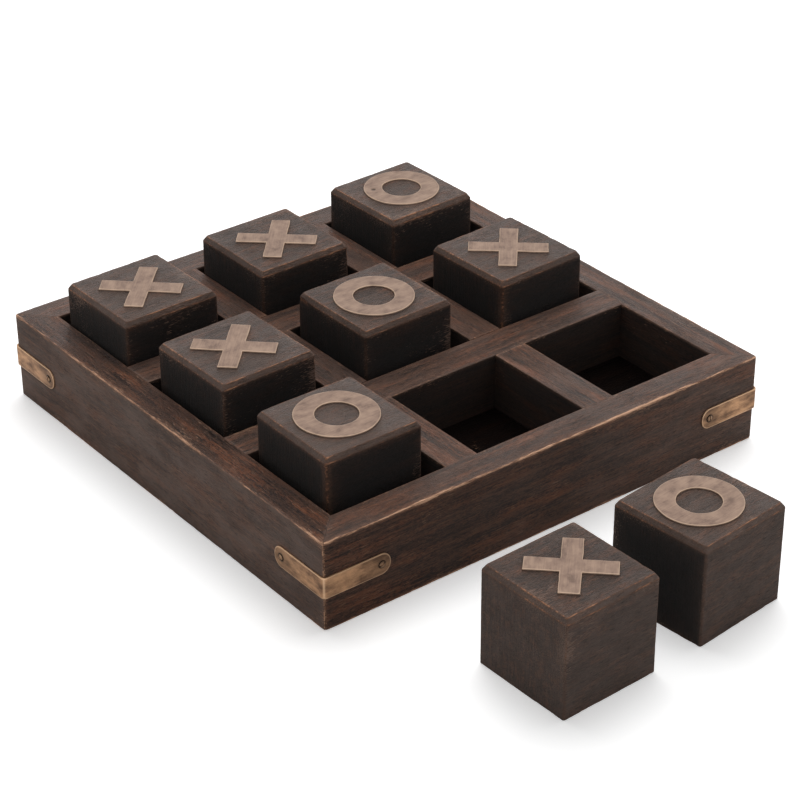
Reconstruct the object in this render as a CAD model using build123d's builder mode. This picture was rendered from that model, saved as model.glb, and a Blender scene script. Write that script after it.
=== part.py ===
from build123d import *
from math import cos, radians, sin
import os

os.makedirs("parts", exist_ok=True)

# A tic-tac-toe game: a wooden tray of nine cells with brass corner straps, and nine wooden blocks
# with brass marks. +X runs to the right, +Y to the back, and the origin is the middle of the underside.
# All sizes are in millimetres.

# Blocks
block_width = 62.5
block_height = 60.0
block_edge_bevel = 1.2  # the eased upright edges
block_bevel_inset = 1.8  # how far the bevel reaches in over the top
block_bevel_drop = 3.0  # how far the bevel comes down the sides
block_foot_bevel = 0.8  # the small bevel round the underside

# Tray
cell_clearance = 5.9  # from a centred block to each wall of its cell
cell_depth = 35.0
divider_thickness = 22.0
rail_thickness = 19.0
base_thickness = 19.0
corner_radius = 2.0  # the tray's upright outer corners
rail_top_radius = 1.4  # the rails' rubbed outer top edge
rail_foot_radius = 0.8  # the rails' outer bottom edge
lip_bevel = 0.7  # the top edges round the cells

# Joints in the wood
fit_gap = 0.1  # between a housing and what it holds
tenon_length = 8.0
tenon_thickness = 10.0
tenon_shoulder = 7.0  # above and below each tenon
rabbet_width = 10.0
rabbet_height = 10.0

# Brass crosses and rings
mark_thickness = 1.0
mark_bevel = 0.25
cross_span = 47.5
cross_arm_width = 11.0
ring_outer_radius = 23.3
ring_inner_radius = 11.9

# Corner straps
strap_width = 12.7
strap_thickness = 1.0
strap_leg = 42.0  # from the tray's corner to the strap's end
strap_end_flat = 1.0  # what stays straight between the two rounded corners of an end
strap_corner_gap = 0.3  # how much tighter the strap bends than the wood's rounded corner
strap_screw_inset = 36.3  # from the tray's corner to a screw

# Strap screws
screw_gap = 0.06  # between a screw and its hole
screw_radius = 1.2
screw_head_radius = 2.2
screw_head_height = 0.75
screw_length = 11.0  # under the head
screw_slot_width = 0.6
screw_slot_depth = 0.55

# Where the blocks stand in their cells: column and row counted from the middle cell, then the place
# across and along the play in the cell as a share from -1 to 1, then the turn in degrees.
seated_blocks = {
    "x_1": (-1, 0, -0.08, 0.55, 1.0),
    "x_2": (-1, 1, -0.69, -0.48, 0.6),
    "x_3": (0, 1, -0.93, -0.12, 0.2),
    "x_4": (1, 0, -0.21, 0.16, 1.9),
    "o_1": (-1, -1, -0.01, 0.93, -0.2),
    "o_2": (0, 0, -0.30, 0.42, 0.9),
    "o_3": (1, 1, -0.50, 0.94, 1.4),
}

# The two loose blocks stand on the table in front of the tray.
loose_cross_reach = 67.5  # from the tray's front face to the cross block
loose_ring_reach = 63.1  # and to the ring block
loose_gap = 29.1  # between the two blocks
loose_middle = -29.0  # the middle of the pair, from the tray's middle
loose_cross_turn = 1.7
loose_ring_turn = 5.5

# How each mark lies on its block: its shift across and along the block, then its own turn in degrees.
mark_lays = {
    "x_1": (-1.1, 0.4, 0.2),
    "x_2": (-0.6, -0.2, 1.1),
    "x_3": (0.7, -1.2, 2.9),
    "x_4": (0.9, -0.4, 2.1),
    "x_5": (1.3, 0.9, -0.7),
    "o_1": (-0.2, 1.4, 0.1),
    "o_2": (-0.8, -0.4, -0.4),
    "o_3": (2.0, 1.5, 0.4),
    "o_4": (-1.1, -0.2, -0.8),
}

# Sizes that follow from those above
cell_width = block_width + 2 * cell_clearance
cell_pitch = cell_width + divider_thickness
well_width = 3 * cell_width + 2 * divider_thickness
well_half = well_width / 2
board_width = well_width + 2 * rail_thickness
board_half = board_width / 2
board_height = base_thickness + cell_depth
tenon_height = cell_depth - 2 * tenon_shoulder
strap_middle = board_height / 2
strap_bend_radius = corner_radius - strap_corner_gap
strap_end_radius = (strap_width - strap_end_flat) / 2
strap_screw_spacing = 2 * (board_half - strap_screw_inset)

# The four sides of the tray, each seen as its front, with the outer face towards the plane's -Y
sides = {
    "front": Plane.XY,
    "right": Plane.XY.rotated((0, 0, 90)),
    "back": Plane.XY.rotated((0, 0, 180)),
    "left": Plane.XY.rotated((0, 0, 270)),
}

# On the front side: the wood under a strap, and the strap's outer face
wood_face = Plane(origin=(0, -board_half, strap_middle), x_dir=(1, 0, 0), z_dir=(0, -1, 0))
strap_face = wood_face.offset(strap_thickness)


def save(piece, name):
    """Label one finished piece and write it."""
    piece.label = name
    export_step(piece, f"parts/{name}.step")


# The rails: four alike, mitred at the corners

with BuildPart() as rail:
    with BuildSketch(Plane.YZ.offset(-board_half)) as rail_section:
        with Locations((-board_half, 0)):
            Rectangle(rail_thickness, board_height, align=(Align.MIN, Align.MIN))
        corners = rail_section.vertices()
        top_outer, top_inner = corners.group_by(Axis.Y)[-1].sort_by(Axis.X)
        foot_outer = corners.group_by(Axis.Y)[0].sort_by(Axis.X)[0]
        fillet(top_outer, rail_top_radius)
        chamfer(top_inner, lip_bevel)
        fillet(foot_outer, rail_foot_radius)
        with Locations((-well_half, 0)):
            Rectangle(rabbet_width, rabbet_height, align=(Align.MAX, Align.MIN), mode=Mode.SUBTRACT)
    extrude(amount=board_width)
    # The mitres: what lies in the front quarter of the tray's rounded outline stays
    with BuildSketch():
        RectangleRounded(board_width, board_width, corner_radius)
        with BuildLine():
            Polyline((0, 0), (-board_width, -board_width), (board_width, -board_width), close=True)
        make_face(mode=Mode.INTERSECT)
    extrude(amount=board_height, mode=Mode.INTERSECT)
    # A mortise for each of the two dividers that end in this rail
    with BuildSketch(Plane.XY.offset(base_thickness + tenon_shoulder - fit_gap)):
        with Locations((0, -well_half)):
            with GridLocations(cell_pitch, 1, 2, 1):
                Rectangle(tenon_thickness + 2 * fit_gap, 2 * (tenon_length + fit_gap))
    extrude(amount=tenon_height + 2 * fit_gap, mode=Mode.SUBTRACT)
    # Pilot holes for the strap screws
    with Locations(wood_face):
        with GridLocations(strap_screw_spacing, 1, 2, 1):
            Hole(screw_radius + screw_gap, depth=screw_length)

for side_name, side in sides.items():
    with BuildPart() as placed_rail:
        with Locations(side):
            add(rail.part)
    save(placed_rail.part, f"rail_{side_name}")

# The base board: it fills the well, and its lower edge is glued into the rails' rabbets

with BuildPart() as base_board:
    with BuildSketch():
        Rectangle(well_width + 2 * (rabbet_width - fit_gap), well_width + 2 * (rabbet_width - fit_gap))
    extrude(amount=rabbet_height)
    with BuildSketch(Plane.XY.offset(rabbet_height)):
        Rectangle(well_width - 2 * fit_gap, well_width - 2 * fit_gap)
    extrude(amount=base_thickness - rabbet_height)
save(base_board.part, "base_board")

# The dividers: two bars each way, halved into each other where they cross. Those from left to right
# run on over the top, and those from front to back pass below them.


def build_divider(name, lane, notch_floor):
    """A bar along its lane's X axis, with a tenon at each end and two notches from notch_floor up."""
    lane_section = Plane(origin=lane.origin, x_dir=lane.y_dir, z_dir=lane.x_dir)
    with BuildPart() as divider:
        with BuildSketch(lane_section.offset(-well_half)) as section:
            Rectangle(divider_thickness, cell_depth, align=(Align.CENTER, Align.MIN))
            chamfer(section.vertices().group_by(Axis.Y)[-1], lip_bevel)
        extrude(amount=well_width)
        with BuildSketch(lane.offset(tenon_shoulder)):
            Rectangle(well_width + 2 * tenon_length, tenon_thickness)
        extrude(amount=tenon_height)
        with BuildSketch(lane.offset(notch_floor)):
            with GridLocations(cell_pitch, 1, 2, 1):
                Rectangle(divider_thickness + 2 * fit_gap, 2 * divider_thickness)
        extrude(amount=(cell_depth + fit_gap) / 2, mode=Mode.SUBTRACT)
    save(divider.part, name)


lane_shift = cell_pitch / 2
notch_below = 0
notch_above = (cell_depth - fit_gap) / 2
for divider_name, y in (("divider_front", -lane_shift), ("divider_back", lane_shift)):
    build_divider(divider_name, Plane(origin=(0, y, base_thickness)), notch_below)
for divider_name, x in (("divider_left", -lane_shift), ("divider_right", lane_shift)):
    build_divider(divider_name, Plane(origin=(x, 0, base_thickness), x_dir=(0, 1, 0)), notch_above)

# The corner straps: bent strips with rounded ends and a hole in each leg

with BuildPart() as strap:
    with BuildSketch(Plane(origin=(-board_half, -board_half, strap_middle - strap_width / 2))):
        with BuildLine():
            FilletPolyline((strap_leg, 0), (0, 0), (0, strap_leg), radius=strap_bend_radius)
            offset(amount=strap_thickness, side=Side.LEFT)
        make_face()
    extrude(amount=strap_width)
    front_end = strap.edges().filter_by(Axis.Y).group_by(Axis.X)[-1]
    left_end = strap.edges().filter_by(Axis.X).group_by(Axis.Y)[-1]
    fillet(front_end + left_end, strap_end_radius)
    for face_side in (sides["front"], sides["left"]):
        with Locations(face_side):
            with Locations(strap_face):
                with GridLocations(strap_screw_spacing, 1, 2, 1):
                    Hole(screw_radius + screw_gap, depth=2 * strap_thickness)

for side_name, side in sides.items():
    with BuildPart() as placed_strap:
        with Locations(side):
            add(strap.part)
    save(placed_strap.part, f"corner_strap_{side_name}")


# The strap screws: slotted, with a round head whose flat underside lies on the strap

with BuildPart() as screw:
    with BuildSketch(Plane.XZ):
        with BuildLine():
            crown = (0, screw_head_height)
            rim = (screw_head_radius, 0)
            dome_radius = (screw_head_radius**2 + screw_head_height**2) / (2 * screw_head_height)
            RadiusArc(crown, rim, dome_radius)
            Polyline(rim, (screw_radius, 0), (screw_radius, -screw_length), (0, -screw_length), crown)
        make_face()
    revolve(axis=Axis.Z)
    with BuildSketch(Plane.XY.offset(screw_head_height)):
        Rectangle(2 * screw_head_radius, screw_slot_width)
    extrude(amount=-screw_slot_depth, mode=Mode.SUBTRACT)

with BuildPart() as strap_screws:
    with Locations(*sides.values()):
        with Locations(strap_face):
            with GridLocations(strap_screw_spacing, 1, 2, 1):
                add(screw.part)
save(strap_screws.part, "strap_screws")

# One block and the two kinds of mark, each standing on Z = 0 round the Z axis

with BuildPart() as block:
    with BuildSketch():
        Rectangle(block_width, block_width)
    extrude(amount=block_height)
    chamfer(block.edges().filter_by(Axis.Z), block_edge_bevel)
    top_face = block.faces().sort_by(Axis.Z)[-1]
    chamfer(top_face.edges(), block_bevel_inset, block_bevel_drop, reference=top_face)
    chamfer(block.faces().sort_by(Axis.Z)[0].edges(), block_foot_bevel)

with BuildPart() as cross:
    with BuildSketch():
        for arm_angle in (45, -45):
            Rectangle(cross_span, cross_arm_width, rotation=arm_angle)
    extrude(amount=mark_thickness)
    chamfer(cross.faces().sort_by(Axis.Z)[-1].edges(), mark_bevel)

with BuildPart() as ring:
    with BuildSketch():
        Circle(ring_outer_radius)
        Circle(ring_inner_radius, mode=Mode.SUBTRACT)
    extrude(amount=mark_thickness)
    chamfer(ring.faces().sort_by(Axis.Z)[-1].edges(), mark_bevel)


def cell_place(column, row, across, along, turn):
    """The plane under a block in its cell, on the base board."""
    # A turned block reaches further to each side, so it has less play
    reach = block_width / 2 * (cos(radians(turn)) + sin(abs(radians(turn))))
    play = cell_width / 2 - reach
    x = column * cell_pitch + across * play
    y = row * cell_pitch + along * play
    return Plane(origin=(x, y, base_thickness)).rotated((0, 0, turn))


def table_place(side_shift, reach, turn):
    """The plane under a block on the table in front of the tray."""
    y = -(board_half + reach + block_width / 2)
    return Plane(origin=(loose_middle + side_shift, y, 0)).rotated((0, 0, turn))


loose_shift = (block_width + loose_gap) / 2
block_places = {name: cell_place(*cell) for name, cell in seated_blocks.items()}
block_places["x_5"] = table_place(-loose_shift, loose_cross_reach, loose_cross_turn)
block_places["o_4"] = table_place(loose_shift, loose_ring_reach, loose_ring_turn)

for name, place in block_places.items():
    with BuildPart() as placed_block:
        with Locations(place):
            add(block.part)
    save(placed_block.part, f"block_{name}")
    across, along, turn = mark_lays[name]
    with BuildPart() as placed_mark:
        with Locations(place.offset(block_height)):
            with Locations(Location((across, along, 0), (0, 0, turn))):
                add(cross.part if name.startswith("x") else ring.part)
    save(placed_mark.part, f"plate_{name}")
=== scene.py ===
import logging
from collections.abc import Callable
from dataclasses import dataclass, replace
from enum import Enum
from math import asin, atan2, copysign, cos, exp, pi, radians, sin

import bmesh
import bpy
from mathutils import Matrix, Vector, noise


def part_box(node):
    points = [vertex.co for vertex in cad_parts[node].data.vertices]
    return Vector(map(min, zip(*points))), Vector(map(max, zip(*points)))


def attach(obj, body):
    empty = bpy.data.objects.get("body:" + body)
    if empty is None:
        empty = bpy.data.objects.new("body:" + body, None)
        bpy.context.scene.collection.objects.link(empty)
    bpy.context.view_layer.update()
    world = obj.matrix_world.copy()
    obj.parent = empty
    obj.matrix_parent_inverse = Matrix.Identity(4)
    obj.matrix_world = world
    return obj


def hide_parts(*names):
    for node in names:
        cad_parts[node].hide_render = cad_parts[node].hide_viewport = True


# A tic-tac-toe game: a dark stained tray of nine cells with brass corner straps, and nine blocks
# with brass crosses and rings. Sizes are in metres, and the frame gives the place of every piece.

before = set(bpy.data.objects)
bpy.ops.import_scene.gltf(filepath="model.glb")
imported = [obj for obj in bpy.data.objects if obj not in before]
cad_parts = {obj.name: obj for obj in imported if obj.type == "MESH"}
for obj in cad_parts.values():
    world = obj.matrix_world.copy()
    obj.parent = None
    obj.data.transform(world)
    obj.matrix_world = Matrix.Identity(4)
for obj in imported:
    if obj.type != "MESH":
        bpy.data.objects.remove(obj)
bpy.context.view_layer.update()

MM = 0.001
TINY = 0.05 * MM  # points that differ by less are level with each other
SIDES = ("front", "right", "back", "left")
QUARTERS = [Matrix.Rotation(number * pi / 2, 4, "Z") for number in range(len(SIDES))]
MEASURES = ("edge_gap", "shade_and_tarnish", "end_grain", "haze_and_sheen", "polish")  # on each vertex
UPRIGHT = 0.01  # how little an upright face's normal rises
EXACT = 1e-7  # how near to a plane or to a point counts as on it
JOINED = 1e-6  # points of a finished piece that are closer than this become one
log = logging.getLogger("tic_tac_toe")

Tree = bpy.types.NodeTree
Socket = bpy.types.NodeSocket
Material = bpy.types.Material
Mesh = bmesh.types.BMesh
Edge = bmesh.types.BMEdge
Measure = Callable[[Vector], float]
Arris = tuple[Vector, Vector]
Coat = tuple[Socket, str]
Lengths = tuple[float, ...]


class Axis(Enum):
    """The three directions along which a piece is scored."""

    X = 0
    Y = 1
    Z = 2


class Mark(Enum):
    """The two kinds of mark on a block."""

    CROSS = "x"
    RING = "o"


# Colours and nodes


def hex_to_linear(colour: str) -> tuple[float, ...]:
    """Turn an sRGB hex colour into the linear one that a socket takes.

    Args:
        colour: six hex digits after a #.

    Returns:
        Linear red, green and blue, and an alpha of 1.
    """
    channels = [int(colour[i : i + 2], 16) / 255 for i in (1, 3, 5)]
    linear = [c / 12.92 if c <= 0.04045 else ((c + 0.055) / 1.055) ** 2.4 for c in channels]
    return (*linear, 1.0)


def add(
    tree: Tree,
    kind: str,
    inputs: dict[int | str, object] | tuple = (),
    out: int | str = 0,
    **settings: object,
) -> Socket | None:
    """Add a node to a tree with its settings, its values and its links.

    Args:
        tree: the material's or the world's node tree.
        kind: the node's type name.
        inputs: a value or the output that feeds it for each input, by name or number, or in order.
        out: which of its outputs the caller goes on with.
        settings: the node's own properties.

    Returns:
        That output, or None for a node without any.
    """
    node = tree.nodes.new(kind)
    for name, value in settings.items():
        setattr(node, name, value)
    for key, value in (inputs if isinstance(inputs, dict) else dict(enumerate(inputs))).items():
        if isinstance(value, Socket):
            tree.links.new(value, node.inputs[key])
        else:
            node.inputs[key].default_value = value
    return node.outputs[out] if node.outputs else None


def start_finish(name: str, *measures: str) -> tuple[Material, Tree, list[Socket]]:
    """Start a material.

    Args:
        name: its name.
        measures: the measures that it reads, by the names that lay_out gives them.

    Returns:
        The material, its tree, and the measures.
    """
    material = bpy.data.materials.new(name)
    material.use_nodes = True
    tree = material.node_tree
    tree.nodes.clear()
    outs = ["Vector" if measure == "place" else "Fac" for measure in measures]
    read = [
        add(tree, "ShaderNodeAttribute", out=out, attribute_name=measure)
        for out, measure in zip(outs, measures)
    ]
    return material, tree, read


def pattern(tree: Tree, place: Socket, size: Lengths, detail: float, rough: float) -> Socket:
    """Draw a noise whose marks have a real size on the piece.

    Args:
        tree: the material's tree.
        place: the place on the piece.
        size: how long a mark is along X, Y and Z, where the last length goes for the rest.
        detail: how many finer layers it has.
        rough: how strong those are.

    Returns:
        The noise, about 0.5 in the mean.
    """
    scale = [1 / length for length in (*size, size[-1], size[-1])[:3]]
    scaled = add(tree, "ShaderNodeMapping", {"Vector": place, "Scale": scale})
    fine = {"Vector": scaled, "Scale": 1.0, "Detail": detail, "Roughness": rough}
    return add(tree, "ShaderNodeTexNoise", fine)


def overlay(tree: Tree, ground: str, coats: list[Coat]) -> Socket:
    """Lay colours over each other.

    Args:
        tree: the material's tree.
        ground: the lowest colour.
        coats: for each colour over it, its share from 0 to 1, and the colour.

    Returns:
        The colour that shows.
    """
    shown = hex_to_linear(ground)
    for share, colour in coats:
        # 6, 7 and 2 are the node's two colours and their mixture
        mixed = {0: share, 6: shown, 7: hex_to_linear(colour)}
        shown = add(tree, "ShaderNodeMix", mixed, out=2, data_type="RGBA")
    return shown


# Working a mesh


def clamp(value: float) -> float:
    """Keep a value from 0 to 1."""
    return max(0.0, min(1.0, value))


def shape_box(size: Vector, low: Vector) -> Mesh:
    """Start a mesh as a box.

    Args:
        size: its three sides.
        low: its lowest corner.

    Returns:
        The new mesh.
    """
    bm = bmesh.new()
    bmesh.ops.create_cube(bm, size=1)
    bmesh.ops.scale(bm, vec=size, verts=bm.verts)
    bmesh.ops.translate(bm, vec=low + size / 2, verts=bm.verts)
    return bm


def prism(outline: list[tuple[float, float, float]], along: Vector) -> Mesh:
    """Start a mesh as a flat outline drawn out along a direction.

    Args:
        outline: the corners of the outline, in order.
        along: how far and which way it is drawn out.

    Returns:
        The new mesh, closed at both ends.
    """
    bm = bmesh.new()
    face = bm.faces.new([bm.verts.new(corner) for corner in outline])
    drawn = bmesh.ops.extrude_face_region(bm, geom=[face], use_keep_orig=True)
    bmesh.ops.translate(bm, vec=along, verts=new_verts(drawn))
    bmesh.ops.recalc_face_normals(bm, faces=bm.faces)
    return bm


def spin_round(outline: list[tuple[float, float]], closed: bool, steps: int) -> Mesh:
    """Start a mesh as an outline spun once round Z.

    Args:
        outline: its corners in order, each by its radius and its height.
        closed: whether the last corner joins the first, as round a ring's section.
        steps: the number of flats round it.

    Returns:
        The new mesh.
    """
    bm = bmesh.new()
    corners = [bm.verts.new((radius, 0, height)) for radius, height in outline]
    following = corners[1:] + corners[:1] if closed else corners[1:]
    profile = corners + [bm.edges.new(pair) for pair in zip(corners, following)]
    full = {"cent": (0, 0, 0), "axis": (0, 0, 1), "angle": 2 * pi, "use_merge": True}
    bmesh.ops.spin(bm, geom=profile, steps=steps, **full)
    bmesh.ops.remove_doubles(bm, verts=bm.verts, dist=EXACT)
    bmesh.ops.recalc_face_normals(bm, faces=bm.faces)
    return bm


def new_verts(drawn: dict) -> list[bmesh.types.BMVert]:
    """List the vertices among what an operator gave back."""
    return [part for part in drawn["geom"] if isinstance(part, bmesh.types.BMVert)]


def edges_where(bm: Mesh, test: Callable[[Vector], bool]) -> list[Edge]:
    """List the edges with both ends where the test holds."""
    return [edge for edge in bm.edges if all(test(vert.co) for vert in edge.verts)]


def sharp_edges(bm: Mesh, least: float = radians(15)) -> list[Edge]:
    """List the edges where two faces meet at more than the least angle."""
    bm.normal_update()
    return [edge for edge in bm.edges if edge.is_manifold and edge.calc_face_angle() > least]


def run_of(edge: Edge, axis: Axis) -> float:
    """Measure how far an edge runs along an axis."""
    return abs(edge.verts[0].co[axis.value] - edge.verts[1].co[axis.value])


def ends_of(edges: list[Edge]) -> list[Arris]:
    """Copy the ends of these edges: they are the arrises that wear."""
    return [(edge.verts[0].co.copy(), edge.verts[1].co.copy()) for edge in edges]


def round_over(bm: Mesh, edges: list[Edge], width: float, segments: int) -> None:
    """Round edges over.

    Args:
        bm: the mesh.
        edges: the edges to round.
        width: how far each rounding reaches from its edge.
        segments: the number of flats in it.
    """
    shape = {"offset_type": "OFFSET", "profile": 0.5, "affect": "EDGES", "clamp_overlap": True}
    bmesh.ops.bevel(bm, geom=edges, offset=width, segments=segments, material=-1, **shape)


def score(bm: Mesh, axis: Axis, places: list[float]) -> None:
    """Cut a mesh by planes across an axis, which leaves its shape as it was.

    Args:
        bm: the mesh.
        axis: the axis that the planes stand across.
        places: where along that axis they stand.
    """
    normal = Vector([float(axis.value == i) for i in range(3)])
    for place in places:
        cut = {"dist": EXACT, "plane_co": normal * place, "plane_no": normal}
        bmesh.ops.bisect_plane(bm, geom=[*bm.verts, *bm.edges, *bm.faces], **cut)


def spaced(low: float, high: float, pitch: float, close: Lengths) -> list[float]:
    """Space cuts between two ends: evenly in the middle, and closer beside each end.

    Args:
        low: the lower end.
        high: the upper end.
        pitch: the most between two cuts in the middle.
        close: how far from an end the closer cuts stand.

    Returns:
        The places, without the ends.
    """
    reach = max(close)
    count = max(1, round((high - low - 2 * reach) / pitch))
    step = (high - low - 2 * reach) / count
    middle = [low + reach + step * i for i in range(count + 1)]
    near = [gap for gap in close if gap < reach]
    return [low + gap for gap in near] + middle + [high - gap for gap in near]


def gap_to(point: Vector, start: Vector, end: Vector) -> float:
    """Measure from a point to an arris.

    Args:
        point: the point.
        start: one end of the arris.
        end: the other end.

    Returns:
        The distance.
    """
    run = end - start
    share = clamp((point - start).dot(run) / run.length_squared)
    return (point - start - run * share).length


def nearest(*groups: tuple[list[Arris], float]) -> Measure:
    """Make a function that measures from a point to the nearest arris.

    Args:
        groups: arrises, and how much further away each group seems where hands reach it less.

    Returns:
        The function.
    """
    arrises = [(*arris, spare) for group, spare in groups for arris in group]
    return lambda point: min(gap_to(point, start, end) + spare for start, end, spare in arrises)


@dataclass(frozen=True)
class HazeAndSheen:
    """How strongly old wax greys a wooden piece, with a painted sheen, where 1 is as much as the
    finish itself has.
    """

    sides: float = 0.5  # on the upright faces
    top: float = 0.5  # on the level top
    bevel: float = 1.0  # how much more on a bevel, as painted sheen
    drift: float = 0.0  # how much more on the sides for each metre along the piece

    def at(self, along: float, level: float) -> float:
        """Work out the wax film and its painted sheen this far along, where a face is level by this
        much, from 0 to 1.
        """
        upright = self.sides + self.drift * along
        return upright + (self.top - upright) * level + self.bevel * 4 * level * (1 - level)


def lay_out(
    bm: Mesh,
    shift: Vector,
    edge_gap: Measure,
    shade_and_tarnish: Measure = lambda point: 0.0,
    end_grain: bool = False,
    haze_and_sheen: HazeAndSheen = HazeAndSheen(),
) -> None:
    """Write what the finishes read on each vertex, before the piece is bent or worn.

    That is its place on the piece, its distance to the nearest arris, how deep it lies in painted
    shade (on brass, how tarnished it is), how far its face shows the ends of the grain, how hazy
    the wax on it is with its painted sheen, and how far hands have polished it, which is only on a
    top.

    Args:
        bm: the mesh, in the piece's own frame with the grain along X.
        shift: what sets the piece's stretch of the pattern apart.
        edge_gap: measures the distance to the nearest arris.
        shade_and_tarnish: measures the painted shade, and on brass the tarnish, from 0 to 1.
        end_grain: whether the piece shows the ends of its grain.
        haze_and_sheen: how hazy its wax is, with its painted sheen.
    """
    bm.normal_update()
    place_layer = bm.verts.layers.float_vector.new("place")
    layers = [bm.verts.layers.float.new(name) for name in MEASURES]
    for vert in bm.verts:
        vert[place_layer] = vert.co + shift
        ends = max(0.0, abs(vert.normal.x) * 2 - 1) if end_grain else 0.0
        level = max(0.0, vert.normal.z)
        hazy = haze_and_sheen.at(vert.co.x, level)
        for layer, value in zip(layers, (edge_gap(vert.co), shade_and_tarnish(vert.co), ends, hazy, level)):
            vert[layer] = value


@dataclass(frozen=True)
class Weathering:
    """How handling has worn a wooden piece."""

    dent: float  # the deepest dent on an arris
    reach: float  # how far from an arris the dents fade out
    length: float  # how long a dent is
    hollow: float  # how far broad, shallow hollows sink the faces
    breadth: float = 6  # how many dents long a hollow is
    finer: float = 3.1  # how many times shorter the nicks in the dents are
    nicks: float = 0.6  # how deep those are beside a dent
    whole: float = 0.05  # how much of the arris stays whole

    def apply(self, bm: Mesh, shift: Vector) -> None:
        """Press dents into the arrises and hollows into the faces, always inwards.

        Args:
            bm: the mesh, with its layers written.
            shift: what makes each piece's wear its own.
        """
        bm.normal_update()
        gap_layer = bm.verts.layers.float["edge_gap"]
        moves = []
        for vert in bm.verts:
            spot = (vert.co + shift) / self.length
            close = exp(-((vert[gap_layer] / self.reach) ** 2))
            bite = noise.noise(spot) + self.nicks * noise.noise(spot * self.finer) - self.whole
            dent = max(0.0, bite) * self.dent * close
            hollow = (0.5 + 0.5 * noise.noise(spot / self.breadth)) * self.hollow
            moves.append(vert.normal * -(dent + hollow))
        for vert, move in zip(bm.verts, moves):
            vert.co += move


@dataclass(frozen=True)
class Chip:
    """A splinter broken out of a block, which leaves bare wood."""

    centre: Vector  # its middle, from the middle of the block's underside
    reach: Vector  # how far it reaches along each axis
    depth: float  # how deep it is

    def break_out(self, bm: Mesh) -> None:
        """Sink the wood inside the chip and mark it as bare, as an arris is.

        Args:
            bm: the block, with its layers written.
        """
        bm.normal_update()
        gap_layer = bm.verts.layers.float["edge_gap"]
        for vert in bm.verts:
            away = Vector([(a - b) / c for a, b, c in zip(vert.co, self.centre, self.reach)])
            inside = max(0.0, 1 - away.length)
            if inside > 0:
                vert[gap_layer] *= 1 - min(1.0, inside * 3)
                vert.co -= vert.normal * self.depth * min(1.0, inside * 2)


def show(name: str, data: bpy.types.ID) -> bpy.types.Object:
    """Put an object in the scene.

    Args:
        name: its name.
        data: its mesh, lamp or camera.

    Returns:
        The object, at the origin.
    """
    thing = bpy.data.objects.new(name, data)
    bpy.context.scene.collection.objects.link(thing)
    return thing


def finish_piece(
    bm: Mesh,
    node: str,
    place: Matrix,
    material: Material,
    body: str,
    slot: str,
    smooth: float = radians(40),
) -> None:
    """Close a mesh, set it in its place, and let it stand for a node of the frame.

    Args:
        bm: the mesh, which is used up.
        node: the node that it replaces.
        place: the piece's place in the frame.
        material: its finish.
        body: the body that it rides on.
        slot: its slot's name, such as tray_wood, whose last word goes on the mesh's name.
        smooth: faces that meet at less than this angle shade as one.
    """
    bmesh.ops.remove_doubles(bm, verts=bm.verts, dist=JOINED)
    bmesh.ops.recalc_face_normals(bm, faces=bm.faces)
    bm.transform(place)
    bm.normal_update()
    for face in bm.faces:
        face.smooth = True
    for edge in bm.edges:
        edge.smooth = not edge.is_manifold or edge.calc_face_angle() < smooth
    # A slot is named for its part and its stuff, such as tray_wood
    mesh = bpy.data.meshes.new(f"{node}_{slot.split('_')[1]}")
    bm.to_mesh(mesh)
    bm.free()
    mesh.materials.append(material)
    piece = show(mesh.name, mesh)
    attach(piece, body)
    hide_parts(node)
    log.info("%s: %d faces, rides on %s", piece.name, len(mesh.polygons), body)


def turn_of(node: str, facing: Vector) -> float:
    """Read how far a node is turned about the vertical.

    Args:
        node: the node's name.
        facing: the way that one of its upright faces would face unturned.

    Returns:
        The angle in radians, anticlockwise from above.
    """
    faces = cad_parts[node].data.polygons
    upright = [face for face in faces if abs(face.normal.z) < UPRIGHT]
    front = max(upright, key=lambda face: face.area * max(0.0, face.normal.dot(facing)) ** 8)
    return atan2(front.normal.y, front.normal.x) - atan2(facing.y, facing.x)


# Finishes


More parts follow.
